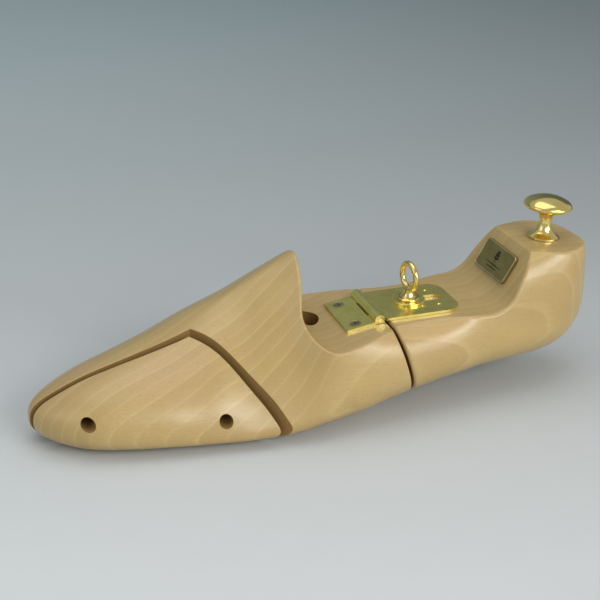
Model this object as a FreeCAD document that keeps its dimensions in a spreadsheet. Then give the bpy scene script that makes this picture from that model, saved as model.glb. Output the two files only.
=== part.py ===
import FreeCAD, Part
import Sketcher

import math
import os

from FreeCAD import Placement, Rotation, Vector

# Hinged wooden shoe tree for a left shoe, in millimetres.
# +Z is up and the sole rests on Z = 0.  The toe points to -X and the heel to +X.
# -Y is the little-toe side, where the sprung wing is, and +Y is the big-toe side.

DRIVING_DIMENSIONS = {
    # the turned wooden blank
    "tree_length": 278.6,
    "toe_round": 35.0,
    "heel_round": 31.0,
    "heel_top_round": 16.0,
    "heel_sole_round": 42.0,
    # hinge between the forepart and the heel block
    "hinge_pos_x": 24.2,
    "hinge_pos_y": -3.8,
    "hinge_pos_z": 47.4,
    "hinge_width": 32.2,
    "outer_knuckle": 8.5,
    "knuckle_radius": 2.6,
    "hinge_pin_radius": 1.2,
    "sheet_gauge": 1.3,
    "front_leaf_length": 16.5,
    "slotted_plate_end": 43.0,
    "plate_corner": 8.0,
    "slot_front": 13.8,
    "slot_length": 24.4,
    "slot_width": 6.6,
    # flat of the waist, cone and heel slope
    "forepart_flat": 45.6,
    "heel_flat": 46.3,
    "forepart_slope": 9.5,
    "heel_slope": 58.7,
    "heel_top_z": 71.4,
    "heel_top_lean": 2.0,
    "cone_undercut": 12.5,
    "waist_kerf": 1.4,
    "waist_kerf_tilt": 16.7,
    # sanded edges of the wood
    "sanded_edge": 1.0,
    "sawn_edge": 0.5,
    "heel_edge": 1.6,
    # toe wing
    "wing_kerf": 3.0,
    "wing_cut_y": -0.7,
    "wing_corner_x": -62.8,
    "wing_cut_angle": 47.5,
    "guide_pin_radius": 3.0,
    "guide_hole_radius": 3.12,
    "bolt_pos_x": -83.8,
    "bolt_pos_z": 18.5,
    "bolt_radius": 2.0,
    "bolt_well_radius": 4.0,
    "spring_radius": 3.6,
    "spring_wire": 0.8,
    # clamp ring
    "ring_pos_x": 45.3,
    "ring_outer": 7.75,
    "ring_wire": 1.45,
    "ring_center_z": 60.4,
    "washer_radius": 8.0,
    "washer_gauge": 1.2,
    "clamp_thread": 3.0,
    # knob and label
    "knob_pos_x": 117.4,
    "knob_pos_y": -2.2,
    "knob_pos_z": 71.2,
    "knob_lean": 4.8,
    "knob_radius": 12.0,
    "label_pos_x": 94.5,
    "label_pos_y": 0.5,
    "label_pos_z": 60.32,
    "label_width": 30.4,
    "label_height": 15.1,
    "label_gauge": 1.0,
    "label_corner": 2.2,
    # finger hole in the flat behind the cone
    "finger_hole_x": -8.0,
    "finger_hole_y": 5.0,
    "finger_hole_radius": 9.75,
    "finger_hole_floor": 21.0,
}

doc = FreeCAD.newDocument("shoe_tree")
sheet = doc.addObject("Spreadsheet::Sheet", "dims")
for row, (alias, value) in enumerate(DRIVING_DIMENSIONS.items(), start=1):
    sheet.set(f"A{row}", alias)
    sheet.set(f"B{row}", str(value))
    sheet.setAlias(f"B{row}", alias)
doc.recompute()


def dim(alias):
    """Value of a driving dimension, read from the sheet."""
    return float(sheet.get(alias))


# ---------------------------------------------------------------- wooden blank

TOE_TIP = -dim("tree_length") / 2
HEEL_END = dim("tree_length") / 2
TOE_HEIGHT = 13.0
HEEL_HEIGHT = 46.0
STATION_POINTS = 36


def smooth(knots):
    """Monotone cubic curve through (x, value) knots, as a function of x."""
    xs = [x for x, _ in knots]
    ys = [y for _, y in knots]
    last = len(xs) - 1
    steps = [xs[i + 1] - xs[i] for i in range(last)]
    rises = [(ys[i + 1] - ys[i]) / steps[i] for i in range(last)]
    slopes = [rises[0]]
    for before, after in zip(rises, rises[1:]):
        slopes.append(2 * before * after / (before + after) if before * after > 0 else 0.0)
    slopes.append(rises[-1])

    def value(x):
        x = min(max(x, xs[0]), xs[-1])
        i = max(j for j in range(last) if xs[j] <= x)
        t = (x - xs[i]) / steps[i]
        start = (2 * t**3 - 3 * t**2 + 1) * ys[i] + (t**3 - 2 * t**2 + t) * steps[i] * slopes[i]
        end = (3 * t**2 - 2 * t**3) * ys[i + 1] + (t**3 - t**2) * steps[i] * slopes[i + 1]
        return start + end

    return value


# Outlines of the last along its length.  Heights are above the sole plane.
outer_side = smooth([(-140, -20), (-126, -24.5), (-106, -29), (-84, -33.5), (-58, -37), (-36, -39.8),
                     (-12, -41.3), (10, -40), (32, -37.5), (57, -33.8), (87, -30.5), (140, -29.3)])
inner_side = smooth([(-140, 21.5), (-126, 24), (-106, 28), (-84, 34), (-56, 41.5), (-36, 40.7),
                     (-8, 36.7), (24, 30.7), (52, 28.2), (87, 27.7), (140, 27.7)])
ridge = smooth([(-140, 2.2), (-118, 3.2), (-90, 6.2), (-66, 8.2), (-42, 7.6), (-18, 6.7), (4, 4.7),
                (32, 1.7), (62, 0.7), (140, -1.3)])
crest_height = smooth([(-140, 24.5), (-126, 27.8), (-116, 31.1), (-96, 37.3), (-76, 44.2), (-66, 48.5),
                       (-42, 59.2), (-26, 68), (-18, 72.3), (-10, 76.6), (-3, 76), (10, 62), (24, 52.5),
                       (38, 50), (54, 50.5), (68, 57), (80, 69), (88, 75), (100, 76), (112, 79),
                       (126, 82), (140, 82)])
sole_height = smooth([(-140, 1.5), (-126, 0.3), (-114, -0.8), (6, -0.8), (32, 4), (54, 8.5), (70, 11),
                      (97, 12.7), (122, 13.4), (140, 14.5)])
outer_bulge = smooth([(-140, 13), (-116, 12), (-96, 10), (-76, 9), (-58, 8), (-34, 8.5), (-14, 13),
                      (2, 18.5), (32, 27), (62, 29), (92, 33), (112, 38), (140, 44)])
inner_bulge = smooth([(-140, 13), (-108, 14), (-58, 15), (-8, 19), (32, 26), (62, 29), (92, 31),
                      (140, 36)])
outer_fullness = smooth([(-140, 2.2), (-106, 2.1), (-86, 1.8), (-66, 1.55), (-52, 1.42), (-45, 1.26),
                         (-36, 1.22), (-12, 1.38), (-1, 2.05), (24, 2.65), (88, 2.5), (100, 2.7),
                         (114, 3.4), (126, 4), (140, 4)])
inner_fullness = smooth([(-140, 2.2), (-78, 2.05), (-6, 2.0), (24, 2.3), (62, 2.4), (97, 2.7),
                         (114, 3.4), (126, 4), (140, 4)])
sole_fullness = smooth([(-140, 2.1), (-78, 2.3), (-38, 2.4), (24, 2.2), (140, 2.2)])


def rounding(distance, length, power):
    """Share of the full size at a distance from a rounded end."""
    if distance >= length:
        return 1.0
    return (1 - (1 - distance / length) ** power) ** (1 / power)


def station(x):
    """Closed cross-section wire of the blank, four superellipse quarters."""
    toe, heel = x - TOE_TIP, HEEL_END - x
    toe_round, heel_round = dim("toe_round"), dim("heel_round")
    end_height = TOE_HEIGHT if toe < heel else HEEL_HEIGHT
    width = rounding(toe, toe_round, 2.0) * rounding(heel, heel_round, 2.0)
    rise = rounding(toe, toe_round, 3.0) * rounding(heel, dim("heel_top_round"), 2.4)
    drop = rounding(toe, toe_round, 2.6) * rounding(heel, dim("heel_sole_round"), 2.3)
    settle = rounding(toe, toe_round, 3.0) * rounding(heel, heel_round, 3.0)
    spine = ridge(x)
    points = []
    for i in range(STATION_POINTS):
        angle = 2 * math.pi * i / STATION_POINTS
        across, up = math.cos(angle), math.sin(angle)
        side = inner_side(x) if across >= 0 else outer_side(x)
        bulge = inner_bulge(x) if across >= 0 else outer_bulge(x)
        waist = end_height + (bulge - end_height) * settle
        if up >= 0:
            reach = (crest_height(x) - waist) * rise
            power = inner_fullness(x) if across >= 0 else outer_fullness(x)
        else:
            reach = (sole_height(x) - waist) * drop
            power = sole_fullness(x)
        y = spine + (side - spine) * width * abs(across) ** (2 / power)
        z = waist + reach * abs(up) ** (2 / power)
        points.append(Vector(x, y, z))
    curve = Part.BSplineCurve()
    curve.interpolate(Points=points, PeriodicFlag=True)
    return Part.Wire([curve.toShape()])


def last_blank():
    """Whole blank, toe to heel, with a flat sole."""
    near_toe = [TOE_TIP + d for d in (0.5, 2, 4.5, 8, 13, 19, 26)]
    near_heel = [HEEL_END - d for d in (21, 15, 10, 6, 3, 1, 0.25)]
    first, final = TOE_TIP + dim("toe_round"), HEEL_END - dim("heel_round")
    middle_count = 17
    middle = [first + (final - first) * i / middle_count for i in range(middle_count + 1)]
    tip = Part.Vertex(TOE_TIP, ridge(TOE_TIP), TOE_HEIGHT)
    back = Part.Vertex(HEEL_END, ridge(HEEL_END), HEEL_HEIGHT)
    sections = [station(x) for x in near_toe + middle + near_heel]
    blank = Part.makeLoft([tip] + sections + [back], True, False)
    above_floor = Part.makeBox(400, 200, 200, Vector(-200, -100, 0))
    above_heel = Part.makeBox(160, 200, 60, Vector(-30, -100, 0))
    heel_top = Vector(dim("knob_pos_x"), 0, dim("heel_top_z"))
    above_heel.Placement = Placement(heel_top, Rotation(Vector(0, 1, 0), dim("heel_top_lean")))
    return blank.common(above_floor).cut(above_heel)


def softened(shape, radius, wanted):
    """Sanded edges: a fillet on every cut edge that passes a test."""
    rounded = shape.makeFillet(radius, [edge for edge in shape.Edges if wanted(edge)])
    if not rounded.isValid() or len(rounded.Solids) != 1:
        raise RuntimeError("a sanded edge failed")
    return rounded


def is_cut_outline(edge):
    """Curved edge where a cut meets the blank's own surface; the loft's long seam isn't one."""
    is_long_enough = 0.1 < edge.Length and edge.BoundBox.XLength < 90
    return is_long_enough and edge.Curve.TypeId == "Part::GeomBSplineCurve"


# ---------------------------------------------------------------- cutting tools

FAR = 160.0
HALF_DEPTH = 80.0


def side_point(x, z):
    return Vector(x, -HALF_DEPTH, z)


def side_direction(degrees):
    angle = math.radians(degrees)
    return Vector(math.cos(angle), 0, math.sin(angle))


def side_prism(edges):
    """Solid right through the tree from a closed outline in the XZ plane."""
    return Part.Face(Part.Wire(edges)).extrude(Vector(0, 2 * HALF_DEPTH, 0))


def plan_prism(points):
    """Tall solid from a closed outline in plan."""
    corners = [Vector(x, y, -20) for x, y in points]
    return Part.Face(Part.makePolygon(corners + corners[:1])).extrude(Vector(0, 0, FAR))


def hollow_corner(start, start_dir, end, end_dir, radius):
    """Arc that rounds the corner between two lines: tangent, middle, tangent."""
    cross = end_dir.x * start_dir.z - start_dir.x * end_dir.z
    gap = end - start
    along = (end_dir.x * gap.z - gap.x * end_dir.z) / cross
    corner = start + start_dir * along
    back, forward = start_dir * -1, end_dir
    half = back.getAngle(forward) / 2
    setback = radius / math.tan(half)
    centre = corner + (back + forward).normalize() * (radius / math.sin(half))
    middle = centre + (corner - centre).normalize() * radius
    return corner + back * setback, middle, corner + forward * setback


def waist_cutter():
    """Everything above the waist: cone's back, two flats and the heel slope."""
    hinge_x = dim("hinge_pos_x")
    cone_top = side_point(hinge_x - 32.2, 80)
    cone_dir = side_direction(-90 - dim("cone_undercut"))
    flat_start = side_point(hinge_x - 1.0, dim("forepart_flat"))
    flat_dir = side_direction(dim("forepart_slope"))
    step = hinge_x + 3.4
    heel_start = side_point(step, dim("heel_flat"))
    slope_point = side_point(hinge_x + 66.5, 54.07)
    slope_dir = side_direction(dim("heel_slope"))
    front = hollow_corner(cone_top, cone_dir, flat_start, flat_dir, 12.0)
    rear = hollow_corner(heel_start, side_direction(0), slope_point, slope_dir, 15.0)
    high_front = cone_top - cone_dir * 25
    high_rear = slope_point + slope_dir * 60
    corners = [flat_start, side_point(step, dim("forepart_flat")), heel_start]
    lid = [high_rear, side_point(high_rear.x, FAR), side_point(high_front.x, FAR), high_front]
    edges = [Part.LineSegment(high_front, front[0]).toShape(), Part.Arc(*front).toShape()]
    path = [front[2]] + corners + [rear[0]]
    edges += [Part.LineSegment(a, b).toShape() for a, b in zip(path, path[1:])]
    edges.append(Part.Arc(*rear).toShape())
    path = [rear[2]] + lid
    edges += [Part.LineSegment(a, b).toShape() for a, b in zip(path, path[1:])]
    return side_prism(edges)


def waist_side(ahead):
    """Everything ahead of the slanted waist kerf, or everything behind it."""
    lean = math.tan(math.radians(dim("waist_kerf_tilt")))
    front_top = dim("hinge_pos_x") + 2.6
    shift = 0.0 if ahead else dim("waist_kerf") / math.cos(math.radians(dim("waist_kerf_tilt")))
    reach = -2 * FAR if ahead else 2 * FAR

    def edge_at(z):
        return front_top + shift + (dim("heel_flat") - z) * lean

    outline = [side_point(edge_at(FAR), FAR), side_point(edge_at(-10), -10),
               side_point(reach, -10), side_point(reach, FAR)]
    return side_prism(Part.makePolygon(outline + outline[:1]).Edges)


def wing_region(gap):
    """Plan region of the toe wing, held back by a gap from the two saw cuts."""
    angle = math.radians(dim("wing_cut_angle"))
    along = (math.cos(angle), -math.sin(angle))
    y = dim("wing_cut_y") - gap
    corner_x = dim("wing_corner_x") - gap * (1 - math.cos(angle)) / math.sin(angle)
    outer = (corner_x + FAR * along[0], y + FAR * along[1])
    return plan_prism([(-FAR, y), (corner_x, y), outer, (-FAR, outer[1])])


def bore(x, z, y_start, y_end, radius):
    """Cylinder parallel to Y."""
    low, high = min(y_start, y_end), max(y_start, y_end)
    return Part.makeCylinder(radius, high - low, Vector(x, low, z), Vector(0, 1, 0))


# Guide pin holes: x, z, inner end and outer end of the pin.
GUIDE_PINS = {
    "guide_pin_front": (-115.8, 18.6, 13.0, -9.0),
    "guide_pin_rear": (-55.6, 15.6, 15.0, -22.0),
}
BOLT_SEAT_Y = 13.4
FOREPART_POCKET_Y = 4.5
WING_POCKET_Y = -9.5
WING_INSERT_END_Y = -19.0
SPRING_POCKET_RADIUS = 4.6
OUTSIDE = 60.0


def is_waist_outline(edge):
    return is_cut_outline(edge) and edge.BoundBox.XMin > -20 and edge.BoundBox.ZMax > 41


def is_wing_outline(edge):
    box = edge.BoundBox
    return is_cut_outline(edge) and box.ZMin < 0.1 and box.ZMax > 40 and box.XMax < -20


def is_heel_edge(edge):
    box = edge.BoundBox
    is_arris = box.XLength < 0.1 and box.ZLength < 0.1 and box.ZMin > 60
    is_kerf_top = box.XLength < 0.1 and box.ZLength < 0.1 and box.XMax < 30
    return is_cut_outline(edge) or is_arris or is_kerf_top


def forepart_shape(front_wood):
    shape = front_wood.cut(wing_region(0.0))
    shape = softened(shape, dim("sanded_edge"), is_waist_outline)
    shape = softened(shape, dim("sawn_edge"), is_wing_outline)
    tools = [bore(x, z, inner, -OUTSIDE, dim("guide_pin_radius"))
             for x, z, inner, _ in GUIDE_PINS.values()]
    x, z = dim("bolt_pos_x"), dim("bolt_pos_z")
    tools.append(bore(x, z, OUTSIDE, BOLT_SEAT_Y, dim("bolt_well_radius")))
    tools.append(bore(x, z, BOLT_SEAT_Y, -5, dim("bolt_radius") + 0.25))
    tools.append(bore(x, z, FOREPART_POCKET_Y, -5, SPRING_POCKET_RADIUS))
    hole_x, hole_y, floor = dim("finger_hole_x"), dim("finger_hole_y"), dim("finger_hole_floor")
    depth = dim("forepart_flat") + 6.0 - floor
    tools.append(Part.makeCylinder(dim("finger_hole_radius"), depth, Vector(hole_x, hole_y, floor)))
    half = dim("hinge_width") / 2 + 0.4
    tools.append(bore(dim("hinge_pos_x"), dim("hinge_pos_z"), dim("hinge_pos_y") - half,
                      dim("hinge_pos_y") + half, dim("knuckle_radius") + 0.4))
    tools += [pilot_hole(name) for name in LEAF_SCREWS]
    return shape.cut(tools)


def wing_shape(front_wood):
    shape = front_wood.common(wing_region(dim("wing_kerf")))
    shape = softened(shape, dim("sawn_edge"), is_wing_outline)
    x, z = dim("bolt_pos_x"), dim("bolt_pos_z")
    tools = [bore(hole_x, hole_z, 0, -OUTSIDE, dim("guide_hole_radius"))
             for hole_x, hole_z, _, _ in GUIDE_PINS.values()]
    tools.append(bore(x, z, 0, WING_POCKET_Y, SPRING_POCKET_RADIUS))
    tools.append(bore(x, z, 0, WING_INSERT_END_Y, WING_INSERT_RADIUS))
    return shape.cut(tools)


def heel_shape(rear_wood):
    x, y = dim("ring_pos_x"), dim("hinge_pos_y")
    insert_foot = Vector(x, y, HEEL_INSERT_TOP - HEEL_INSERT_LENGTH)
    insert_hole = Part.makeCylinder(HEEL_INSERT_RADIUS, HEEL_INSERT_LENGTH, insert_foot)
    bolt_hole = Part.makeCylinder(dim("clamp_thread") + 0.4, 40, Vector(x, y, 30))
    stud_hole = Part.makeCylinder(STUD_RADIUS, STUD_IN_WOOD + 1, Vector(0, 0, -STUD_IN_WOOD))
    knob_seat = Part.makeCylinder(KNOB_SEAT_RADIUS, 3)
    for tool in (stud_hole, knob_seat):
        tool.Placement = knob_placement()
    shape = softened(rear_wood, dim("heel_edge"), is_heel_edge)
    return shape.cut([insert_hole, bolt_hole, stud_hole, knob_seat])


# ---------------------------------------------------------------- shared places

HEEL_INSERT_RADIUS = 4.5
HEEL_INSERT_LENGTH = 13.0
HEEL_INSERT_TOP = 46.1
WING_INSERT_RADIUS = 3.5
KNOB_SEAT_RADIUS = 8.1
STUD_RADIUS = 2.6
STUD_IN_WOOD = 24.0
STUD_IN_KNOB = 9.0
PLATE_LIFT = 0.1
SCREW_HEAD_RADIUS = 2.8
SCREW_SHANK_RADIUS = 1.4
SCREW_HEAD_HEIGHT = 1.2
SCREW_LENGTH = 13.0
LEAF_SCREWS = {"leaf_screw_outer": -11.3, "leaf_screw_inner": 11.3}
LEAF_SCREW_SETBACK = 9.7


def knob_placement():
    """Knob axis: up and leaning a little back, on its spot-faced seat."""
    place = Vector(dim("knob_pos_x"), dim("knob_pos_y"), dim("knob_pos_z"))
    return Placement(place, Rotation(Vector(0, 1, 0), dim("knob_lean")))


def leaf_placement():
    """Underside of the front leaf, on the sloping flat of the forepart."""
    place = Vector(dim("hinge_pos_x") - 1.0, dim("hinge_pos_y"), dim("forepart_flat"))
    return Placement(place, Rotation(Vector(0, 1, 0), -dim("forepart_slope")))


def screw_placement(name):
    """Top centre of a leaf screw's head, axis down into the wood."""
    local = Vector(-LEAF_SCREW_SETBACK, LEAF_SCREWS[name], dim("sheet_gauge"))
    return leaf_placement().multiply(Placement(local, Rotation(Vector(1, 0, 0), 180)))


def pilot_hole(name):
    hole = Part.makeCylinder(SCREW_SHANK_RADIUS, SCREW_LENGTH)
    hole.Placement = screw_placement(name)
    return hole


def along_minus_y(x, y, z):
    return Placement(Vector(x, y, z), Rotation(Vector(1, 0, 0), 90))


def sized(alias, factor=1.0, plus=0.0):
    """A length as a number and as the sheet expression that drives it."""
    return factor * dim(alias) + plus, f"dims.{alias} * ({factor}) + ({plus})"


# ---------------------------------------------------------------- sketch helpers

def new_body(name, placement):
    body = doc.addObject("PartDesign::Body", name)
    body.Label = name
    body.Placement = placement
    return body


def new_sketch(body, plane, offset=Vector(0, 0, 0)):
    """Sketch on one of the body's own origin planes, shifted in the sketch's axes."""
    sketch = body.newObject("Sketcher::SketchObject", body.Name + "_sketch")
    support = [item for item in body.Origin.OriginFeatures if item.Role == plane + "_Plane"]
    sketch.AttachmentSupport = (support[0], [""])
    sketch.MapMode = "FlatFace"
    sketch.AttachmentOffset = Placement(offset, Rotation())
    return sketch


def constrain(sketch, kind, place, value):
    """Dimension on a sketch point or curve, driven by the sheet when it has an expression."""
    number, expression = value if isinstance(value, tuple) else (value, None)
    index = sketch.addConstraint(Sketcher.Constraint(kind, *place, number))
    if expression:
        sketch.setExpression(f"Constraints[{index}]", expression)


def number_of(value):
    return value[0] if isinstance(value, tuple) else value


def draw_polygon(sketch, corners):
    """Closed outline through corners, every corner held in both directions."""
    points = [Vector(number_of(x), number_of(y), 0) for x, y in corners]
    count = len(points)
    first = sketch.GeometryCount
    for i in range(count):
        sketch.addGeometry(Part.LineSegment(points[i], points[(i + 1) % count]))
    for i in range(count):
        follower = first + (i + 1) % count
        sketch.addConstraint(Sketcher.Constraint("Coincident", first + i, 2, follower, 1))
    for i, (x, y) in enumerate(corners):
        constrain(sketch, "DistanceX", (-1, 1, first + i, 1), x)
        constrain(sketch, "DistanceY", (-1, 1, first + i, 1), y)


def draw_rectangle(sketch, x_low, x_high, y_low, y_high):
    draw_polygon(sketch, [(x_low, y_low), (x_high, y_low), (x_high, y_high), (x_low, y_high)])


def draw_circle(sketch, x, y, radius):
    centre = Vector(number_of(x), number_of(y), 0)
    index = sketch.addGeometry(Part.Circle(centre, Vector(0, 0, 1), number_of(radius)))
    constrain(sketch, "Radius", (index,), radius)
    constrain(sketch, "DistanceX", (-1, 1, index, 3), x)
    constrain(sketch, "DistanceY", (-1, 1, index, 3), y)


def draw_slot(sketch, x_low, x_high, radius):
    """Round-ended slot along the sketch's X axis."""
    low, high, size = number_of(x_low), number_of(x_high), number_of(radius)
    quarter = math.pi / 2
    up = Vector(0, 0, 1)
    left = Part.Circle(Vector(low, 0, 0), up, size)
    right = Part.Circle(Vector(high, 0, 0), up, size)
    sketch.addGeometry(Part.ArcOfCircle(left, quarter, 3 * quarter))
    sketch.addGeometry(Part.ArcOfCircle(right, -quarter, quarter))
    sketch.addGeometry(Part.LineSegment(Vector(low, -size, 0), Vector(high, -size, 0)))
    sketch.addGeometry(Part.LineSegment(Vector(high, size, 0), Vector(low, size, 0)))
    for ends in ((0, 2, 2, 1), (2, 2, 1, 1), (1, 2, 3, 1), (3, 2, 0, 1)):
        sketch.addConstraint(Sketcher.Constraint("Tangent", *ends))
    constrain(sketch, "Radius", (0,), radius)
    constrain(sketch, "DistanceX", (-1, 1, 0, 3), x_low)
    constrain(sketch, "DistanceX", (-1, 1, 1, 3), x_high)
    constrain(sketch, "DistanceY", (-1, 1, 0, 3), 0.0)
    sketch.addConstraint(Sketcher.Constraint("Horizontal", 2))


def feature(body, kind, sketch, length=None, both_ways=False):
    """Pad or Pocket of a sketch; a Pocket with no length goes right through."""
    item = body.newObject("PartDesign::" + kind, body.Name + "_" + kind.lower())
    item.Profile = sketch
    if both_ways:
        item.SideType = "Symmetric"
    if length is None:
        item.Type = "ThroughAll"
    else:
        number, expression = length if isinstance(length, tuple) else (length, None)
        item.Length = number
        if expression:
            item.setExpression("Length", expression)
    doc.recompute()
    return item


def spin(body, sketch, axis="V_Axis", kind="Revolution"):
    """Full turn of a sketch about one of its own axes."""
    item = body.newObject("PartDesign::" + kind, body.Name + "_" + kind.lower())
    item.Profile = sketch
    item.ReferenceAxis = (sketch, [axis])
    item.Angle = 360
    doc.recompute()
    return item


def dress(body, kind, size, wanted):
    """Fillet or chamfer on the edges of the body's tip that pass a test."""
    tip = body.Tip
    names = [f"Edge{i + 1}" for i, edge in enumerate(tip.Shape.Edges) if wanted(edge)]
    item = body.newObject("PartDesign::" + kind, body.Name + "_" + kind.lower())
    item.Base = (tip, names)
    if kind == "Fillet":
        item.Radius = number_of(size)
    else:
        item.Size = number_of(size)
    if isinstance(size, tuple):
        item.setExpression("Radius" if kind == "Fillet" else "Size", size[1])
    doc.recompute()
    return item


def is_upright(edge):
    return edge.BoundBox.ZLength > 0.5 and edge.BoundBox.XLength + edge.BoundBox.YLength < 0.01


def is_level_at(height):
    return lambda edge: edge.BoundBox.ZLength < 0.01 and abs(edge.BoundBox.ZMin - height) < 0.01


def turned(name, placement, profile):
    """Turned piece: a half profile of (radius, height) corners spun about Z."""
    body = new_body(name, placement)
    sketch = new_sketch(body, "XZ")
    draw_polygon(sketch, profile)
    spin(body, sketch)
    return body


def turned_smooth(name, placement, curve_points, corners):
    """Turned piece: a smooth outer curve from rim to tip, closed by straight lines through corners."""
    body = new_body(name, placement)
    sketch = new_sketch(body, "XZ")
    curve = Part.BSplineCurve()
    knots = [Vector(number_of(radius), height, 0) for radius, height in curve_points]
    curve.interpolate(Points=knots, FinalTangent=Vector(-1, 0, 0))
    sketch.addGeometry(curve)
    sketch.addConstraint(Sketcher.Constraint("Block", 0))
    path = [curve_points[-1]] + corners + [curve_points[0]]
    points = [Vector(number_of(radius), number_of(height), 0) for radius, height in path]
    for start, end in zip(points, points[1:]):
        sketch.addGeometry(Part.LineSegment(start, end))
    last = len(points) - 1
    for i in range(last):
        sketch.addConstraint(Sketcher.Constraint("Coincident", i, 2, i + 1, 1))
    sketch.addConstraint(Sketcher.Constraint("Coincident", last, 2, 0, 1))
    for i, (radius, height) in enumerate(corners, start=2):
        constrain(sketch, "DistanceX", (-1, 1, i, 1), radius)
        constrain(sketch, "DistanceY", (-1, 1, i, 1), height)
    spin(body, sketch)
    return body


# ---------------------------------------------------------------- hinge

HINGE_HALF = sized("hinge_width", 0.5)
CLEAR = 0.1


def make_front_leaf():
    """Leaf screwed to the forepart, with the two outer knuckles."""
    body = new_body("front_leaf", leaf_placement())
    axis = leaf_placement().inverse().multVec(
        Vector(dim("hinge_pos_x"), dim("hinge_pos_y"), dim("hinge_pos_z")))
    knuckle_line = axis.x
    notch = -2.0
    inner = sized("hinge_width", 0.5, -dim("outer_knuckle"))
    minus_inner = sized("hinge_width", -0.5, dim("outer_knuckle"))
    outer = HINGE_HALF
    minus_outer = sized("hinge_width", -0.5)
    front = sized("front_leaf_length", -1.0, 1.0)
    sheet_outline = new_sketch(body, "XY")
    draw_polygon(sheet_outline, [
        (front, minus_outer), (knuckle_line, minus_outer), (knuckle_line, minus_inner),
        (notch, minus_inner), (notch, inner), (knuckle_line, inner), (knuckle_line, outer),
        (front, outer)])
    feature(body, "Pad", sheet_outline, sized("sheet_gauge"))
    barrel = new_sketch(body, "XZ")
    draw_circle(barrel, axis.x, axis.z, sized("knuckle_radius"))
    feature(body, "Pad", barrel, sized("hinge_width"), both_ways=True)
    middle = new_sketch(body, "XZ")
    draw_circle(middle, axis.x, axis.z, sized("knuckle_radius", 1.0, 0.3))
    middle_length = sized("hinge_width", 1.0, -2 * dim("outer_knuckle"))
    feature(body, "Pocket", middle, middle_length, both_ways=True)
    pin_hole = new_sketch(body, "XZ")
    draw_circle(pin_hole, axis.x, axis.z, sized("hinge_pin_radius", 1.0, 0.02))
    feature(body, "Pocket", pin_hole, sized("hinge_width", 1.0, 2.0), both_ways=True)
    gauge = dim("sheet_gauge")
    for y in LEAF_SCREWS.values():
        countersink = new_sketch(body, "XZ", Vector(-LEAF_SCREW_SETBACK, 0, -y))
        foot = gauge - SCREW_HEAD_HEIGHT
        draw_polygon(countersink, [
            (0, -1), (SCREW_SHANK_RADIUS + CLEAR, -1), (SCREW_SHANK_RADIUS + CLEAR, foot),
            (SCREW_HEAD_RADIUS + CLEAR, gauge), (SCREW_HEAD_RADIUS + CLEAR, gauge + 1), (0, gauge + 1)])
        spin(body, countersink, kind="Groove")
    return body


def make_slotted_plate():
    """Plate that slides under the clamp ring, with the middle knuckle."""
    place = Vector(dim("hinge_pos_x"), dim("hinge_pos_y"), dim("heel_flat") + PLATE_LIFT)
    body = new_body("slotted_plate", Placement(place, Rotation()))
    axis_height = dim("hinge_pos_z") - place.z
    arm = sized("hinge_width", 0.5, -dim("outer_knuckle") - CLEAR)
    minus_arm = sized("hinge_width", -0.5, dim("outer_knuckle") + CLEAR)
    shoulder = sized("knuckle_radius", 1.0, 0.7)
    outer = HINGE_HALF
    minus_outer = sized("hinge_width", -0.5)
    end = sized("slotted_plate_end")
    sheet_outline = new_sketch(body, "XY")
    draw_polygon(sheet_outline, [
        (0, minus_arm), (shoulder, minus_arm), (shoulder, minus_outer), (end, minus_outer),
        (end, outer), (shoulder, outer), (shoulder, arm), (0, arm)])
    feature(body, "Pad", sheet_outline, sized("sheet_gauge"))
    end_x = number_of(end)
    dress(body, "Fillet", sized("plate_corner"),
          lambda edge: is_upright(edge) and edge.BoundBox.XMax > end_x - 0.1)
    barrel = new_sketch(body, "XZ")
    draw_circle(barrel, 0.0, axis_height, sized("knuckle_radius"))
    barrel_length = sized("hinge_width", 1.0, -2 * dim("outer_knuckle") - 2 * CLEAR)
    feature(body, "Pad", barrel, barrel_length, both_ways=True)
    pin_hole = new_sketch(body, "XZ")
    draw_circle(pin_hole, 0.0, axis_height, sized("hinge_pin_radius", 1.0, 0.05))
    feature(body, "Pocket", pin_hole, sized("hinge_width"), both_ways=True)
    radius = dim("slot_width") / 2
    slot = new_sketch(body, "XY", Vector(0, 0, dim("sheet_gauge")))
    draw_slot(slot, sized("slot_front", 1.0, radius), sized("slot_front", 1.0, dim("slot_length") - radius),
              sized("slot_width", 0.5))
    feature(body, "Pocket", slot)
    dimples = new_sketch(body, "XY", Vector(0, 0, dim("sheet_gauge")))
    for x in (16.8, 25.3, 33.8):
        for y in (-8.5, 8.5):
            draw_circle(dimples, x, y, 1.0)
    feature(body, "Pocket", dimples, 0.35)
    return body


def make_pin(name, radius, length, placement, chamfer=0.3):
    """Plain round pin with both ends chamfered."""
    end = number_of(length)
    return turned(name, placement, [
        (0, 0), (radius[0] - chamfer, 0), (radius, chamfer), (radius, end - chamfer),
        (radius[0] - chamfer, end), (0, end)])


def make_hinge_pin():
    end = dim("hinge_pos_y") + dim("hinge_width") / 2
    place = along_minus_y(dim("hinge_pos_x"), end, dim("hinge_pos_z"))
    return make_pin("hinge_pin", sized("hinge_pin_radius"), sized("hinge_width"), place, 0.2)


def make_leaf_screw(name):
    """Countersunk wood screw with a cross recess; its axis points down the body's Z."""
    head, shank = SCREW_HEAD_RADIUS, SCREW_SHANK_RADIUS
    body = turned(name, screw_placement(name), [
        (0, 0.05), (head, 0.05), (shank, SCREW_HEAD_HEIGHT), (shank, SCREW_LENGTH - 3),
        (0, SCREW_LENGTH - 0.2)])
    recess = new_sketch(body, "XY")
    arm, half = 1.7, 0.3
    draw_polygon(recess, [
        (-arm, -half), (-half, -half), (-half, -arm), (half, -arm), (half, -half), (arm, -half),
        (arm, half), (half, half), (half, arm), (-half, arm), (-half, half), (-arm, half)])
    cut = feature(body, "Pocket", recess, 0.9)
    cut.Reversed = True
    doc.recompute()
    return body


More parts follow.
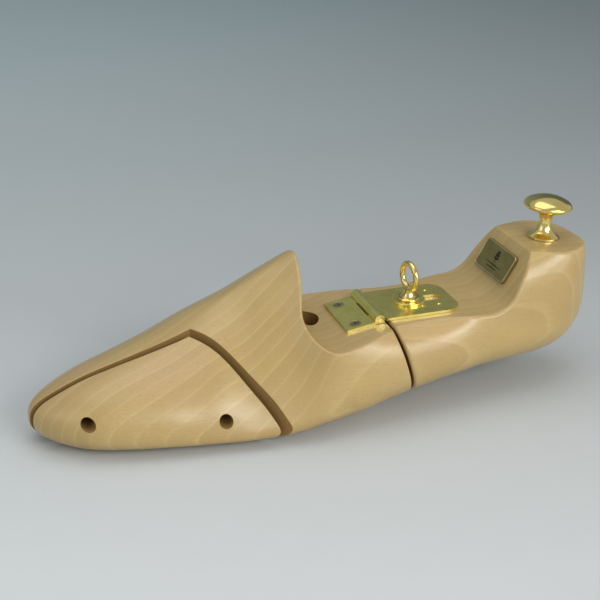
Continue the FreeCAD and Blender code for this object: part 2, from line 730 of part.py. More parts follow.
# ---------------------------------------------------------------- clamp ring

FLANGE_UNDERSIDE = dim("heel_flat") + PLATE_LIFT + dim("sheet_gauge") + 0.05 + dim("washer_gauge") + 0.05
FLANGE_RADIUS = 5.5
FLANGE_HEIGHT = 1.2
BOLT_DEPTH = 13.5


def make_clamp_washer():
    height = FLANGE_UNDERSIDE - 0.05 - dim("washer_gauge")
    place = Vector(dim("ring_pos_x"), dim("hinge_pos_y"), height)
    body = new_body("clamp_washer", Placement(place, Rotation()))
    outline = new_sketch(body, "XY")
    draw_circle(outline, 0.0, 0.0, sized("washer_radius"))
    draw_circle(outline, 0.0, 0.0, sized("clamp_thread", 1.0, 0.2))
    feature(body, "Pad", outline, sized("washer_gauge"))
    dress(body, "Fillet", 0.3, is_level_at(dim("washer_gauge")))
    return body


def make_ring_bolt():
    """Threaded shank, flange and neck with a finger ring on top."""
    place = Vector(dim("ring_pos_x"), dim("hinge_pos_y"), FLANGE_UNDERSIDE)
    body = new_body("ring_bolt", Placement(place, Rotation(Vector(0, 0, 1), 8)))
    shank = sized("clamp_thread")
    profile = new_sketch(body, "XZ")
    draw_polygon(profile, [
        (0, -BOLT_DEPTH), (shank[0] - 0.6, -BOLT_DEPTH), (shank, 0.6 - BOLT_DEPTH), (shank, 0),
        (FLANGE_RADIUS - 0.2, 0), (FLANGE_RADIUS, 0.25), (FLANGE_RADIUS, 0.9),
        (FLANGE_RADIUS - 0.4, FLANGE_HEIGHT), (3.9, FLANGE_HEIGHT), (3.3, 2.0), (2.7, 3.3),
        (2.3, 4.9), (0, 4.9)])
    spin(body, profile)
    centre = dim("ring_center_z") - FLANGE_UNDERSIDE
    ring = new_sketch(body, "XZ", Vector(0, centre, 0))
    draw_circle(ring, 0.0, sized("ring_outer", 1.0, -dim("ring_wire")), sized("ring_wire"))
    spin(body, ring, axis="H_Axis")
    return body


def make_heel_insert():
    """Threaded brass insert that the clamp ring screws into."""
    place = Vector(dim("ring_pos_x"), dim("hinge_pos_y"), HEEL_INSERT_TOP - HEEL_INSERT_LENGTH)
    bore_radius = sized("clamp_thread", 1.0, 0.05)
    return turned("heel_insert", Placement(place, Rotation()), [
        (bore_radius, 0), (HEEL_INSERT_RADIUS, 0), (HEEL_INSERT_RADIUS, HEEL_INSERT_LENGTH),
        (bore_radius, HEEL_INSERT_LENGTH)])


# ---------------------------------------------------------------- knob and label

def make_knob():
    """Turned brass knob with a flared base and a blind stud hole."""
    crown = dim("knob_radius")
    curve_points = [
        (7.8, 1.2), (6.4, 2.1), (5.2, 3.1), (4.2, 4.6), (3.5, 6.4), (3.2, 8.4), (3.3, 10.4), (3.9, 12.2),
        (5.2, 13.5), (7.4, 14.3), (crown - 2.2, 15.0), (crown - 0.5, 15.7), (crown, 16.6),
        (crown - 0.3, 17.6), (crown - 1.4, 18.8), (crown - 3.6, 20.0), (5.6, 21.0), (2.8, 21.6), (0, 21.8)]
    corners = [
        (0, STUD_IN_KNOB), (STUD_RADIUS, STUD_IN_KNOB), (STUD_RADIUS, 0.05), (7.6, 0.05), (7.9, 0.4)]
    return turned_smooth("knob", knob_placement(), curve_points, corners)


def make_knob_stud():
    place = knob_placement().multiply(Placement(Vector(0, 0, 0.3 - STUD_IN_WOOD), Rotation()))
    return make_pin("knob_stud", (STUD_RADIUS, "2.6"), STUD_IN_WOOD + STUD_IN_KNOB - 0.6, place, 0.4)


def label_placement(lift):
    """Label lying on the heel slope, its length across the tree."""
    slope = math.radians(dim("heel_slope"))
    base = Vector(dim("label_pos_x"), dim("label_pos_y"), dim("label_pos_z"))
    outward = Vector(-math.sin(slope), 0, math.cos(slope))
    return Placement(base + outward * lift, Rotation(Vector(0, 1, 0), -dim("heel_slope")))


def make_label(name, lift, half_height, half_width, gauge, corner):
    body = new_body(name, label_placement(lift))
    outline = new_sketch(body, "XY")
    minus_height = (-half_height[0], f"-({half_height[1]})")
    minus_width = (-half_width[0], f"-({half_width[1]})")
    draw_rectangle(outline, minus_height, half_height, minus_width, half_width)
    feature(body, "Pad", outline, gauge)
    dress(body, "Fillet", corner, is_upright_local)
    return body


def is_upright_local(edge):
    return abs(edge.tangentAt(edge.FirstParameter).z) > 0.99


# ---------------------------------------------------------------- wing hardware

def make_guide_pin(name):
    x, z, inner, outer = GUIDE_PINS[name]
    start = inner - 0.2
    radius = sized("guide_pin_radius", 1.0, -0.02)
    return make_pin(name, radius, start - outer, along_minus_y(x, start, z), 0.8)


def make_wing_bolt():
    """Cheese-head bolt from the big-toe side into the wing's insert."""
    shank = sized("bolt_radius")
    head, head_height = 3.6, 3.4
    length = BOLT_SEAT_Y + 17.0
    place = along_minus_y(dim("bolt_pos_x"), BOLT_SEAT_Y + 0.9, dim("bolt_pos_z"))
    body = turned("wing_bolt", place, [
        (0, -head_height), (head - 0.4, -head_height), (head, 0.4 - head_height), (head, 0), (shank, 0),
        (shank, length - 0.5), (shank[0] - 0.5, length), (0, length)])
    driver_slot = new_sketch(body, "XY", Vector(0, 0, -head_height))
    draw_rectangle(driver_slot, -0.5, 0.5, -4.0, 4.0)
    cut = feature(body, "Pocket", driver_slot, 1.2)
    cut.Reversed = True
    doc.recompute()
    return body


def make_bolt_washer():
    place = along_minus_y(dim("bolt_pos_x"), BOLT_SEAT_Y + 0.8, dim("bolt_pos_z"))
    return turned("bolt_washer", place, [
        (sized("bolt_radius", 1.0, 0.15), 0), (sized("bolt_well_radius", 1.0, -0.1), 0),
        (sized("bolt_well_radius", 1.0, -0.1), 0.8), (sized("bolt_radius", 1.0, 0.15), 0.8)])


def make_wing_insert():
    length = WING_POCKET_Y - WING_INSERT_END_Y
    place = along_minus_y(dim("bolt_pos_x"), WING_POCKET_Y, dim("bolt_pos_z"))
    return turned("wing_insert", place, [
        (sized("bolt_radius", 1.0, 0.03), 0), (WING_INSERT_RADIUS, 0), (WING_INSERT_RADIUS, length),
        (sized("bolt_radius", 1.0, 0.03), length)])


def make_wing_spring():
    """Compression spring round the bolt, between the two pockets, coiled in half turns."""
    wire, radius = dim("spring_wire") / 2, dim("spring_radius")
    half_turns = 13
    rise = (FOREPART_POCKET_Y - WING_POCKET_Y - 2 * wire - 0.2) / half_turns
    coil = []
    for i in range(half_turns):
        side = 1 if i % 2 == 0 else -1
        start = Vector(side * radius, 0, i * rise)
        middle = Vector(0, side * math.hypot(radius, rise / 2), (i + 0.5) * rise)
        end = Vector(-side * radius, 0, (i + 1) * rise)
        coil.append(Part.Arc(start, middle, end).toShape())
    section = Part.Circle(Vector(radius, 0, 0), Vector(0, 1, 0), wire)
    item = doc.addObject("Part::Feature", "wing_spring")
    item.Label = "wing_spring"
    item.Shape = Part.Wire(coil).makePipeShell([Part.Wire([section.toShape()])], True, True)
    item.Placement = along_minus_y(dim("bolt_pos_x"), FOREPART_POCKET_Y - wire - 0.1, dim("bolt_pos_z"))
    return item


# ---------------------------------------------------------------- build

def wood(name, shape):
    item = doc.addObject("Part::Feature", name)
    item.Label = name
    item.Shape = shape
    return item


def main():
    blank = last_blank().cut(waist_cutter())
    front_wood = blank.common(waist_side(ahead=True))
    rear_wood = blank.common(waist_side(ahead=False))
    pieces = [
        wood("forepart", forepart_shape(front_wood)),
        wood("toe_wing", wing_shape(front_wood)),
        wood("heel_block", heel_shape(rear_wood)),
        make_front_leaf(), make_slotted_plate(), make_hinge_pin(), make_clamp_washer(), make_ring_bolt(),
        make_heel_insert(), make_knob(), make_knob_stud(), make_wing_bolt(), make_bolt_washer(),
        make_wing_insert(), make_wing_spring(),
        make_label("label_pad", 0.02, sized("label_height", 0.5, -0.7),
                   sized("label_width", 0.5, -0.7), 0.35, 1.8),
        make_label("label_plate", 0.4, sized("label_height", 0.5), sized("label_width", 0.5),
                   sized("label_gauge"), sized("label_corner")),
    ]
    pieces += [make_guide_pin(name) for name in GUIDE_PINS]
    pieces += [make_leaf_screw(name) for name in LEAF_SCREWS]
    doc.recompute()
    for item in doc.Objects:
        if "Invalid" in item.State or "Error" in item.State:
            raise RuntimeError(f"{item.Label} failed: {item.State}")
    for piece in pieces:
        solids = piece.Shape.Solids
        if piece.Shape.isNull() or not piece.Shape.isValid() or len(solids) != 1:
            raise RuntimeError(f"{piece.Label} has a bad shape: {len(solids)} solids")
    os.makedirs("parts", exist_ok=True)
    for piece in pieces:
        piece.Shape.exportStep(f"parts/{piece.Label}.step")
        print(piece.Label, round(piece.Shape.Volume), "mm3")


main()
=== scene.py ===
import math

import bpy
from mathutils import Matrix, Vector


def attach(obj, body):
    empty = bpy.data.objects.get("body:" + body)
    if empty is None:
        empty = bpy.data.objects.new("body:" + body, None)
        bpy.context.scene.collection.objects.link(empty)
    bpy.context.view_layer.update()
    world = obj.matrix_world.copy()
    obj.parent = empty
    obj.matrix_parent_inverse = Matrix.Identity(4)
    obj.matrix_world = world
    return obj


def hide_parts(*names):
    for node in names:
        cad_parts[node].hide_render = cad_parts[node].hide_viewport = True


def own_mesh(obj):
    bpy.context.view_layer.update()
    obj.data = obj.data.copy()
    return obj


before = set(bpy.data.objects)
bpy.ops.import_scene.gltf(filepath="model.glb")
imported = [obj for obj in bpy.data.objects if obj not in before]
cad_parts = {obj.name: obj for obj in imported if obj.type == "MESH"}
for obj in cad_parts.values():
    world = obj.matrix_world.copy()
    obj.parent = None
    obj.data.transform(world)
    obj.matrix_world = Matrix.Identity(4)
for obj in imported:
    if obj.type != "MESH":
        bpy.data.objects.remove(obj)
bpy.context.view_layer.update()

MM = 0.001

# ------------------------------------------------------------------ node helpers


class Shader:
    """A material's node tree, with short calls for the nodes used here."""

    def __init__(self, name):
        self.material = bpy.data.materials.new(name)
        self.material.use_nodes = True
        self.tree = self.material.node_tree
        self.tree.nodes.clear()
        output = self.tree.nodes.new("ShaderNodeOutputMaterial")
        self.surface = self.tree.nodes.new("ShaderNodeBsdfPrincipled")
        self.tree.links.new(self.surface.outputs[0], output.inputs["Surface"])
        coordinates = self.tree.nodes.new("ShaderNodeTexCoord")
        self.place = coordinates.outputs["Object"]

    def node(self, kind, **settings):
        item = self.tree.nodes.new("ShaderNode" + kind)
        for key, value in settings.items():
            setattr(item, key, value)
        return item

    def plug(self, value, socket):
        """Links a socket to a socket, or sets a constant on it."""
        if isinstance(value, bpy.types.NodeSocket):
            self.tree.links.new(value, socket)
        else:
            socket.default_value = value

    def math(self, operation, a, b=0.0, c=0.0):
        item = self.node("Math", operation=operation)
        for value, socket in zip((a, b, c), item.inputs):
            self.plug(value, socket)
        return item.outputs[0]

    def vector_math(self, operation, a, b=(0, 0, 0)):
        item = self.node("VectorMath", operation=operation)
        self.plug(a, item.inputs[0])
        self.plug(b, item.inputs[1])
        return item.outputs["Value" if operation in ("DOT_PRODUCT", "DISTANCE") else "Vector"]

    def stretch(self, vector, scale, offset=(0, 0, 0)):
        """A vector scaled axis by axis, then shifted."""
        item = self.node("Mapping")
        self.plug(vector, item.inputs["Vector"])
        item.inputs["Location"].default_value = offset
        item.inputs["Scale"].default_value = scale
        return item.outputs[0]

    def noise(self, vector, scale, detail, roughness=0.5):
        item = self.node("TexNoise")
        self.plug(vector, item.inputs["Vector"])
        item.inputs["Scale"].default_value = scale
        item.inputs["Detail"].default_value = detail
        item.inputs["Roughness"].default_value = roughness
        return item.outputs[0]

    def ramp(self, value, stops):
        """Colour ramp from (position, colour) stops, where a colour is RGB or a grey number."""
        item = self.node("ValToRGB")
        self.plug(value, item.inputs[0])
        elements = item.color_ramp.elements
        while len(elements) < len(stops):
            elements.new(0.5)
        for element, (position, colour) in zip(elements, stops):
            element.position = position
            rgb = colour if isinstance(colour, tuple) else (colour, colour, colour)
            element.color = (*rgb, 1)
        return item.outputs[0]

    def span(self, value, low, high, out_low=0.0, out_high=1.0):
        """Smooth step from out_low to out_high as the value goes from low to high."""
        item = self.node("MapRange")
        item.interpolation_type = "SMOOTHSTEP"
        self.plug(value, item.inputs["Value"])
        item.inputs["From Min"].default_value = low
        item.inputs["From Max"].default_value = high
        item.inputs["To Min"].default_value = out_low
        item.inputs["To Max"].default_value = out_high
        return item.outputs[0]

    def mix(self, factor, a, b, blend="MIX"):
        item = self.node("Mix", data_type="RGBA", blend_type=blend)
        self.plug(factor, item.inputs["Factor"])
        colours = [socket for socket in item.inputs if socket.type == "RGBA"]
        for value, socket in zip((a, b), colours):
            self.plug((*value, 1) if isinstance(value, tuple) else value, socket)
        return [socket for socket in item.outputs if socket.type == "RGBA"][0]

    def tint(self, base, mask, share, colour):
        """The base moved towards a colour by a share of the mask."""
        return self.mix(self.math("MULTIPLY", mask, share), base, colour)

    def axes(self, vector):
        item = self.node("SeparateXYZ")
        self.plug(vector, item.inputs[0])
        return item.outputs

    def bump(self, height, strength, distance):
        item = self.node("Bump")
        item.inputs["Strength"].default_value = strength
        item.inputs["Distance"].default_value = distance
        self.plug(height, item.inputs["Height"])
        self.tree.links.new(item.outputs[0], self.surface.inputs["Normal"])

    def finish(self, colour, roughness, **constants):
        """Sets the surface's colour, roughness and named constants, and gives the material."""
        self.plug(colour, self.surface.inputs["Base Color"])
        self.plug(roughness, self.surface.inputs["Roughness"])
        for name, value in constants.items():
            self.surface.inputs[name.replace("_", " ")].default_value = value
        return self.material


def millimetres(s):
    """Object coordinates in millimetres."""
    scaled = s.vector_math("SCALE", s.place)
    scaled.node.inputs["Scale"].default_value = 1 / MM
    return scaled


def within(s, value, low, high):
    """1 where a value lies between two limits, else 0."""
    return s.math("COMPARE", value, (low + high) / 2, (high - low) / 2)


# ------------------------------------------------------------------ beech

# where the wood is sawn or bored, in millimetres; SKIN widens each cut past its CAD walls
SKIN = 0.1
WING_CUT = {"corner": (-62.8, -0.7, 0.0), "slant": (-0.7373, -0.6756, 0.0), "width": 3.0}
WAIST_CUT = {"lean": 0.30, "start": 40.69, "width": 1.46}
GUIDE_HOLES = ((-115.8, 0.0, 18.6), (-55.6, 0.0, 15.6))
GUIDE_HOLE_RADIUS = 3.12
GUIDE_HOLE_END = 15.5
FINGER_HOLE = {"centre": (-8.0, 5.0, 0.0), "radius": 9.75, "bottom": 20.5, "top": 51.0}

# growth layers: thickness, how far they wander, and brightness across one layer
LAYER_THICKNESS = 5.2
LAYER_WANDER = 6.5
RING_STOPS = [(0.0, 1.0), (0.05, 0.78), (0.16, 0.24), (0.5, 0.05), (0.9, 0.0),
              (0.965, 0.2), (1.0, 1.0)]

BEECH_DEEP, BEECH_LIGHT = (0.465, 0.315, 0.104), (0.525, 0.366, 0.132)
BEECH_BLUSH = (0.560, 0.360, 0.168)
BEECH_RING = (0.630, 0.474, 0.200)
BEECH_LAYER = (0.410, 0.272, 0.084)
BEECH_FIBRE = (0.368, 0.246, 0.094)
BEECH_FLECK = (0.270, 0.155, 0.070)
# browner end grain of the saw cuts and bored holes, darkened further as painted shade of these
# recesses
CUT_SHADED_DARK, CUT_SHADED_PALE = (0.200, 0.108, 0.034), (0.320, 0.192, 0.070)

SANDED_ROUGHNESS, FIBRE_ROUGHNESS, CUT_ROUGHNESS = 0.43, 0.10, 0.30
COAT_WEIGHT, COAT_ROUGHNESS = 0.75, 0.25
SKIN_SPECULAR, WOOD_IOR = 0.5, 1.48
GRAIN_BUMP, GRAIN_DEPTH = 0.10, 0.0002


def cut_wood_and_shade_mask(s, mm):
    """1 on the walls of the two saw cuts and inside the bored holes, 0 on the sanded skin; the mask
    carries both the browner end grain and the painted shade of these recesses.
    """
    x, y, z = s.axes(mm)
    from_corner = s.vector_math("SUBTRACT", mm, WING_CUT["corner"])
    slanted = s.vector_math("DOT_PRODUCT", from_corner, WING_CUT["slant"])
    straight = s.math("SUBTRACT", WING_CUT["corner"][1], y)
    into_wing = s.math("MINIMUM", slanted, straight)
    mask = within(s, into_wing, -SKIN, WING_CUT["width"] + SKIN)
    across_waist = s.math("MULTIPLY_ADD", z, WAIST_CUT["lean"], x)
    waist_end = WAIST_CUT["start"] + WAIST_CUT["width"]
    waist = within(s, across_waist, WAIST_CUT["start"] - SKIN, waist_end + SKIN)
    mask = s.math("MAXIMUM", mask, waist)
    side = s.vector_math("MULTIPLY", mm, (1, 0, 1))
    drilled = s.math("LESS_THAN", y, GUIDE_HOLE_END)
    for centre in GUIDE_HOLES:
        distance = s.vector_math("DISTANCE", side, centre)
        inside = s.math("LESS_THAN", distance, GUIDE_HOLE_RADIUS + SKIN)
        mask = s.math("MAXIMUM", mask, s.math("MULTIPLY", inside, drilled))
    plan = s.vector_math("MULTIPLY", mm, (1, 1, 0))
    from_centre = s.vector_math("DISTANCE", plan, FINGER_HOLE["centre"])
    in_finger_hole = s.math("LESS_THAN", from_centre, FINGER_HOLE["radius"] + SKIN)
    hole_height = within(s, z, FINGER_HOLE["bottom"], FINGER_HOLE["top"])
    return s.math("MAXIMUM", mask, s.math("MULTIPLY", in_finger_hole, hole_height))


def growth_layers(s, mm, layer_normal, layer_offset):
    """Ring brightness and each layer's own tone; bent planes show arcs on a curved surface."""
    warp = s.noise(s.stretch(mm, (0.012, 0.03, 0.03)), 1.0, 1.5, 0.4)
    warp_mm = s.math("MULTIPLY_ADD", warp, LAYER_WANDER, layer_offset)
    depth = s.math("ADD", s.vector_math("DOT_PRODUCT", mm, layer_normal), warp_mm)
    layers = s.math("MULTIPLY", depth, 1 / LAYER_THICKNESS)
    ring = s.ramp(s.math("FRACT", layers), RING_STOPS)
    layer_number = s.node("CombineXYZ")
    s.plug(s.math("MULTIPLY", s.math("FLOOR", layers), 0.73), layer_number.inputs[0])
    return ring, s.noise(layer_number.outputs[0], 1.0, 0.0)


def beech(name, layer_normal, layer_offset):
    """Pale beech: growth layers, fine fibre along X, short dark ray flecks, darker saw cuts and
    holes (browner end grain plus painted shade).
    """
    s = Shader(name)
    mm = millimetres(s)
    ring, layer_tone = growth_layers(s, mm, layer_normal, layer_offset)
    # fibre and slow colour drift
    fibre = s.noise(s.stretch(mm, (0.05, 2.6, 2.6)), 1.0, 4.0, 0.62)
    drift = s.noise(s.stretch(mm, (0.008, 0.03, 0.03)), 1.0, 2.0)
    blush = s.noise(s.stretch(mm, (0.012, 0.022, 0.022), (31, 7, 3)), 1.0, 2.0)
    base = s.mix(s.span(drift, 0.35, 0.65), BEECH_DEEP, BEECH_LIGHT)
    base = s.tint(base, s.span(blush, 0.45, 0.75), 0.55, BEECH_BLUSH)
    base = s.tint(base, ring, 0.46, BEECH_RING)
    base = s.tint(base, s.span(layer_tone, 0.35, 0.65), 0.34, BEECH_LAYER)
    fibre_mask = s.span(fibre, 0.36, 0.66)
    base = s.tint(base, fibre_mask, 0.28, BEECH_FIBRE)
    # ray flecks: short dashes along the fibre
    fleck_noise = s.noise(s.stretch(mm, (0.42, 3.2, 3.2), (3, 5, 7)), 1.0, 1.0)
    flecks = s.span(fleck_noise, 0.655, 0.715)
    scatter_noise = s.noise(s.stretch(mm, (0.10, 0.25, 0.25), (9, 1, 4)), 1.0, 1.0)
    fleck_mask = s.math("MULTIPLY", flecks, s.span(scatter_noise, 0.38, 0.62))
    base = s.tint(base, fleck_mask, 0.55, BEECH_FLECK)
    # saw cuts and holes: end grain, browner and rougher, with painted shade of the recesses
    # darkening their colour further
    cut_and_shade_mask = cut_wood_and_shade_mask(s, mm)
    saw_marks = s.noise(s.stretch(mm, (0.9, 0.9, 3.5), (2, 8, 5)), 1.0, 2.0, 0.6)
    cut_tone_and_shade = s.mix(saw_marks, CUT_SHADED_DARK, CUT_SHADED_PALE)
    # painted shade: the cut walls and bored holes are pulled 85% towards a dark brown, darker than
    # their end grain alone
    base = s.tint(base, cut_and_shade_mask, 0.85, cut_tone_and_shade)
    skin_roughness = s.math("MULTIPLY_ADD", fibre_mask, FIBRE_ROUGHNESS, SANDED_ROUGHNESS)
    roughness = s.math("MULTIPLY_ADD", cut_and_shade_mask, CUT_ROUGHNESS, skin_roughness)
    ridges = s.math("MULTIPLY", fibre, 0.6)
    s.bump(s.math("SUBTRACT", ridges, s.math("MULTIPLY", fleck_mask, 0.5)), GRAIN_BUMP, GRAIN_DEPTH)
    skin = s.math("SUBTRACT", 1.0, cut_and_shade_mask)
    s.plug(s.math("MULTIPLY", skin, COAT_WEIGHT), s.surface.inputs["Coat Weight"])
    s.plug(s.math("MULTIPLY", skin, SKIN_SPECULAR), s.surface.inputs["Specular IOR Level"])
    return s.finish(base, roughness, Coat_Roughness=COAT_ROUGHNESS, IOR=WOOD_IOR)


# ------------------------------------------------------------------ metal

EVEN_STROKES = (1.2, 1.2, 1.2)
STROKES_ALONG_X = (0.15, 2.5, 2.5)
STROKES_ALONG_Y = (2.5, 0.15, 2.5)
METAL_BUMP, METAL_DEPTH = 0.03, 0.00004


def metal(name, bright, dull, roughness, grain=1.0, strokes=EVEN_STROKES, metallic=1.0):
    """Metal with faint polishing marks, cloudy tarnish and small pits."""
    s = Shader(name)
    mm = millimetres(s)
    cloud = s.noise(mm, 0.16, 4.0, 0.6)
    marks = s.noise(s.stretch(mm, strokes), grain, 3.0, 0.6)
    pits = s.span(s.noise(mm, 2.4, 1.0), 0.66, 0.74)
    mark_colour, pit_colour = (tuple(v * share for v in dull) for share in (0.7, 0.45))
    colour = s.mix(s.span(cloud, 0.35, 0.7), bright, dull)
    colour = s.tint(colour, s.span(marks, 0.3, 0.7), 0.18, mark_colour)
    colour = s.tint(colour, pits, 0.35, pit_colour)
    rough = s.math("MULTIPLY_ADD", cloud, 0.10, roughness - 0.05)
    rough = s.math("MULTIPLY_ADD", marks, 0.08, rough)
    s.bump(s.math("SUBTRACT", marks, pits), METAL_BUMP, METAL_DEPTH)
    return s.finish(colour, rough, Metallic=metallic)


front_wood = beech("beech_front", (-0.25, 0.965, 0.06), 3.0)
heel_wood = beech("beech_heel", (0.05, 0.98, 0.12), 11.0)
plate_brass = metal("plate_brass", (0.86, 0.74, 0.23), (0.72, 0.61, 0.17), 0.20,
                    strokes=STROKES_ALONG_X, metallic=0.88)
shiny_brass = metal("shiny_brass", (0.92, 0.74, 0.28), (0.86, 0.66, 0.22), 0.10)
screw_brass = metal("screw_brass", (0.50, 0.42, 0.24), (0.33, 0.27, 0.15), 0.32, grain=1.4)
steel = metal("steel", (0.56, 0.55, 0.53), (0.42, 0.41, 0.40), 0.30, grain=1.2)
label_metal = metal("label_metal", (0.38, 0.29, 0.11), (0.29, 0.22, 0.075), 0.30,
                    strokes=STROKES_ALONG_Y, metallic=0.85)
# painted highlight: a much brighter copy of the label's brass for the rim bead, standing for its
# bevel catching light
label_rim_highlight = metal("label_rim_highlight", (0.80, 0.70, 0.38), (0.62, 0.53, 0.28), 0.22, grain=1.2)
label_back = metal("label_back", (0.10, 0.085, 0.06), (0.07, 0.06, 0.045), 0.6)
label_ink = metal("label_ink", (0.035, 0.032, 0.028), (0.02, 0.02, 0.018), 0.45, grain=1.5)

LOOKS = {
    front_wood: ("forepart", "toe_wing"),
    heel_wood: ("heel_block",),
    plate_brass: ("front_leaf", "slotted_plate", "clamp_washer"),
    shiny_brass: ("hinge_pin", "ring_bolt", "knob", "knob_stud", "heel_insert", "wing_insert",
                  "guide_pin_front", "guide_pin_rear"),
    screw_brass: ("leaf_screw_outer", "leaf_screw_inner"),
    steel: ("wing_bolt", "bolt_washer", "wing_spring"),
    label_metal: ("label_plate",),
    label_back: ("label_pad",),
}
for look, node_names in LOOKS.items():
    for node_name in node_names:
        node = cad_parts[node_name]
        node.data.materials.clear()
        node.data.materials.append(look)

# ------------------------------------------------------------------ wing spring

# the shown spring is a copy of the CAD spring, carried by the forepart, while the CAD spring is
# hidden
solid_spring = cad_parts["wing_spring"]
spring_coil = bpy.data.objects.new("spring_coil", solid_spring.data.copy())
bpy.context.scene.collection.objects.link(spring_coil)
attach(spring_coil, "forepart")
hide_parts("wing_spring")
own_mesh(spring_coil)

# ------------------------------------------------------------------ label decoration

# the label's own directions and its face; sizes here are in millimetres
LABEL_SLOPE = math.radians(58.7)
LABEL_BASE = Vector((94.5, 0.5, 60.32))
LABEL_UP = Vector((math.cos(LABEL_SLOPE), 0, math.sin(LABEL_SLOPE)))
LABEL_RIGHT = Vector((0, -1, 0))
LABEL_OUT = Vector((-math.sin(LABEL_SLOPE), 0, math.cos(LABEL_SLOPE)))
LABEL_FACE = 1.4
SINK = 0.03
SHOULDER = 0.6

# a generic sprig: a stem with six leaves, over two tapering rules
SPRIG_FOOT = (0.0, -0.9)
STEM = (6.6, 0.55)
LEAF_WIDTH = 0.95
LEAF_PAIRS = ((1.1, 58, 2.9), (2.7, 52, 2.5), (4.2, 46, 1.9))
RULES = ((17.0, -2.5), (11.0, -4.2))
RULE_WIDTH = 0.55
SPRIG_HEIGHT, RULE_HEIGHT = 0.12, 0.10

# the rim: half size and corner radius of the label, and the bead's section as (inset, rise)
LABEL_HALF_WIDTH, LABEL_HALF_HEIGHT, LABEL_CORNER = 15.2, 7.55, 2.2
RIM_SECTION = [(0.25, -SINK), (0.32, 0.10), (0.5, 0.17), (0.68, 0.10), (0.75, -SINK)]


def on_label(right, up, out):
    """Point on the label, in metres, from millimetres across, up and out of its face."""
    place = LABEL_BASE + LABEL_RIGHT * right + LABEL_UP * up + LABEL_OUT * (LABEL_FACE + out)
    return place * MM


def add_piece(name, points, faces, material, body, slot):
    mesh = bpy.data.meshes.new(name)
    mesh.from_pydata([tuple(point) for point in points], [], faces)
    mesh.validate()
    for face in mesh.polygons:
        face.use_smooth = True
    mesh.materials.append(material)
    item = bpy.data.objects.new(name, mesh)
    bpy.context.scene.collection.objects.link(item)
    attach(item, body)


def leaf_outline(length, width, steps=10):
    """Pointed leaf along +X from the origin, as (along, across) points."""
    upper = [(length * i / steps, width * math.sin(math.pi * i / steps) ** 0.8 / 2)
             for i in range(steps + 1)]
    lower = [(along, -across) for along, across in reversed(upper[1:-1])]
    return upper + lower


def raised_shape(outlines, height):
    """Closed low relief from several convex outlines: a foot, a shoulder and a crown point."""
    points, faces = [], []
    for outline in outlines:
        start, count = len(points), len(outline)
        middle = (sum(p[0] for p in outline) / count, sum(p[1] for p in outline) / count)
        points += [on_label(u, v, -SINK) for u, v in outline]
        points += [on_label(u, v, height * SHOULDER) for u, v in outline]
        points += [on_label(*middle, height), on_label(*middle, -SINK)]
        crown, foot = start + 2 * count, start + 2 * count + 1
        for i in range(count):
            j = (i + 1) % count
            faces.append((start + i, start + j, start + count + j, start + count + i))
            faces.append((start + count + i, start + count + j, crown))
            faces.append((start + j, start + i, foot))
    return points, faces


def placed(outline, right, up, degrees):
    """Outline turned and moved on the label's face, wound so that the relief faces out."""
    c, s = math.cos(math.radians(degrees)), math.sin(math.radians(degrees))
    return [(right + c * u - s * v, up + s * u + c * v) for u, v in reversed(outline)]


def rounded_rectangle(half_width, half_height, radius, steps=8):
    """Corner arcs of a rounded rectangle, anticlockwise, as (right, up) points."""
    points = []
    for quarter, (side, rise) in enumerate(((1, 1), (-1, 1), (-1, -1), (1, -1))):
        right, up = side * (half_width - radius), rise * (half_height - radius)
        for i in range(steps + 1):
            angle = math.pi / 2 * (quarter + i / steps)
            points.append((right + radius * math.cos(angle), up + radius * math.sin(angle)))
    return points


def label_rim():
    """Low half-round bead inside the label's edge, in a brighter brass than the plate as a painted
    highlight of the bevel.
    """
    points, faces = [], []
    loops = [rounded_rectangle(LABEL_HALF_WIDTH - inset, LABEL_HALF_HEIGHT - inset,
                               LABEL_CORNER - inset) for inset, _ in RIM_SECTION]
    count = len(loops[0])
    for loop, (_, rise) in zip(loops, RIM_SECTION):
        points += [on_label(u, v, rise) for u, v in loop]
    for k in range(len(RIM_SECTION)):
        this, following = k * count, (k + 1) % len(RIM_SECTION) * count
        for i in range(count):
            j = (i + 1) % count
            faces.append((this + i, this + j, following + j, following + i))
    return points, faces


sprig = [placed(leaf_outline(*STEM), *SPRIG_FOOT, 90)]
for up, spread, length in LEAF_PAIRS:
    for side in (-1, 1):
        leaf = leaf_outline(length, LEAF_WIDTH)
        sprig.append(placed(leaf, SPRIG_FOOT[0], SPRIG_FOOT[1] + up, 90 - side * spread))
rules = [placed(leaf_outline(length, RULE_WIDTH, 16), -length / 2, up, 0) for length, up in RULES]
add_piece("label_sprig", *raised_shape(sprig, SPRIG_HEIGHT), label_ink, "heel", "label_backing")
add_piece("label_rules", *raised_shape(rules, RULE_HEIGHT), label_ink, "heel", "label_backing")
add_piece("label_rim", *label_rim(), label_rim_highlight, "heel", "label_bronze")

# ------------------------------------------------------------------ stage, light, camera

scene = bpy.context.scene

# a paper sweep, in metres: flat, then a quarter turn up to a wall
FLOOR_SIZE = 3.0
BACK_START, BACK_RADIUS, BACK_RISE = 1.1, 0.6, 1.6
BACK_STEPS = 12

# painted light fall-off on the paper: its colour darkens from front to back, and a painted
# brightness runs from left to right
PAPER_FALLOFF_STOPS = [(0.17, (0.645, 0.662, 0.658)), (0.27, (0.520, 0.544, 0.543)),
               (0.33, (0.440, 0.466, 0.468)), (0.45, (0.385, 0.425, 0.430)),
               (0.70, (0.356, 0.423, 0.428)), (0.90, (0.330, 0.395, 0.400))]
PAPER_FLECK = (0.30, 0.33, 0.33)
PAPER_RIGHT = (0.947, -0.320, 0.0)
PAPER_REACH, PAPER_LEFT_LIGHT, PAPER_RIGHT_LIGHT = 0.6, 1.30, 0.70
PAPER_ROUGHNESS = 0.75

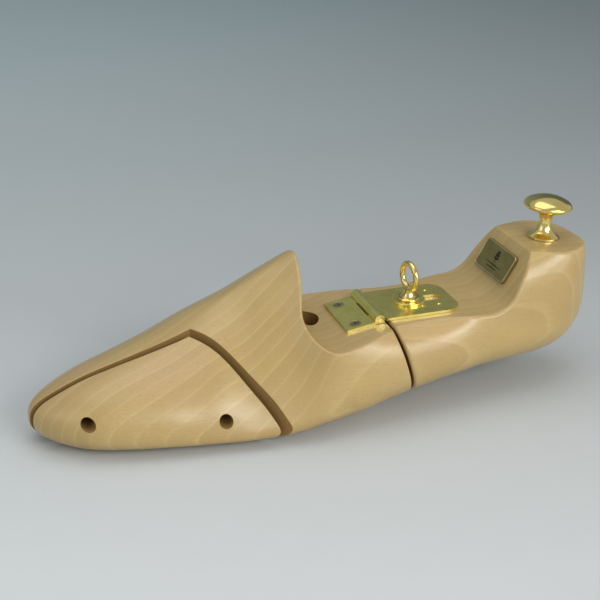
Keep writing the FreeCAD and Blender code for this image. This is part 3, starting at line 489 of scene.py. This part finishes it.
# name, place, aim, size, power, colour
LIGHTS = (
    ("top_softbox", (-0.05, 0.10, 1.15), (0, 0, 0), (1.2, 0.9), 3.8, (1.0, 0.99, 0.97)),
    ("front_softbox", (0.36, -0.98, 0.60), (0, 0, 0.03), (0.8, 0.36), 6.6, (1.0, 0.985, 0.965)),
    ("low_fill", (0.75, -0.85, 0.26), (0.10, 0, 0.03), (0.6, 0.3), 1.6, (1.0, 0.985, 0.96)),
    ("left_fill", (-1.1, -0.3, 0.7), (-0.05, 0, 0.03), (0.7, 0.7), 1.2, (1.0, 1.0, 1.0)),
)
ROOM_COLOUR, ROOM_STRENGTH = (0.80, 0.84, 0.88, 1), 0.56

CAMERA_PLACE = Vector((-0.17905, -0.50426, 0.29273))
CAMERA_AIM = Vector((-0.00774, 0.00335, 0.05252))
CAMERA_LENS, CAMERA_SENSOR = 73.98, 36.0


def facing(place, aim):
    """Rotation of a light or a camera that looks from a place to its aim."""
    return (Vector(aim) - Vector(place)).to_track_quat("-Z", "Y").to_euler()


rows = [(-FLOOR_SIZE, 0.0), (BACK_START, 0.0)]
for step in range(1, BACK_STEPS + 1):
    turn = math.radians(90 * step / BACK_STEPS)
    rows.append((BACK_START + BACK_RADIUS * math.sin(turn), BACK_RADIUS * (1 - math.cos(turn))))
rows.append((BACK_START + BACK_RADIUS, BACK_RISE))
floor_points = [(x, y, z) for y, z in rows for x in (-FLOOR_SIZE, FLOOR_SIZE)]
floor_faces = [(2 * i, 2 * i + 1, 2 * i + 3, 2 * i + 2) for i in range(len(rows) - 1)]
floor_mesh = bpy.data.meshes.new("floor")
floor_mesh.from_pydata(floor_points, [], floor_faces)
for face in floor_mesh.polygons:
    face.use_smooth = True
floor = bpy.data.objects.new("floor", floor_mesh)
scene.collection.objects.link(floor)

s = Shader("paper_painted_falloff")
paper = s.noise(s.place, 60.0, 2.0)
depth = s.math("MULTIPLY_ADD", s.axes(s.place)[1], 0.5, 0.25)
# painted light fall-off: the paper's colour darkens with distance and towards the right, standing
# for the light dropping off
sweep = s.ramp(depth, PAPER_FALLOFF_STOPS)
across_view = s.vector_math("DOT_PRODUCT", s.place, PAPER_RIGHT)
painted_side_falloff = s.span(across_view, -PAPER_REACH, PAPER_REACH, PAPER_LEFT_LIGHT, PAPER_RIGHT_LIGHT)
sweep = s.mix(1.0, sweep, painted_side_falloff, "MULTIPLY")
tone = s.tint(sweep, paper, 0.05, PAPER_FLECK)
floor_mesh.materials.append(s.finish(tone, PAPER_ROUGHNESS))

for name, place, aim, size, power, colour in LIGHTS:
    light = bpy.data.lights.new(name, "AREA")
    light.shape = "RECTANGLE"
    light.size, light.size_y = size
    light.energy = power
    light.color = colour
    item = bpy.data.objects.new(name, light)
    item.rotation_euler = facing(place, aim)
    item.location = place
    scene.collection.objects.link(item)

world = bpy.data.worlds.new("studio")
scene.world = world
world.use_nodes = True
background = world.node_tree.nodes["Background"]
background.inputs["Color"].default_value = ROOM_COLOUR
background.inputs["Strength"].default_value = ROOM_STRENGTH

camera_data = bpy.data.cameras.new("camera")
camera_data.lens = CAMERA_LENS
camera_data.sensor_width = CAMERA_SENSOR
camera = bpy.data.objects.new("camera", camera_data)
camera.location = CAMERA_PLACE
camera.rotation_euler = facing(CAMERA_PLACE, CAMERA_AIM)
scene.collection.objects.link(camera)
scene.camera = camera
scene.view_settings.view_transform = "Standard"
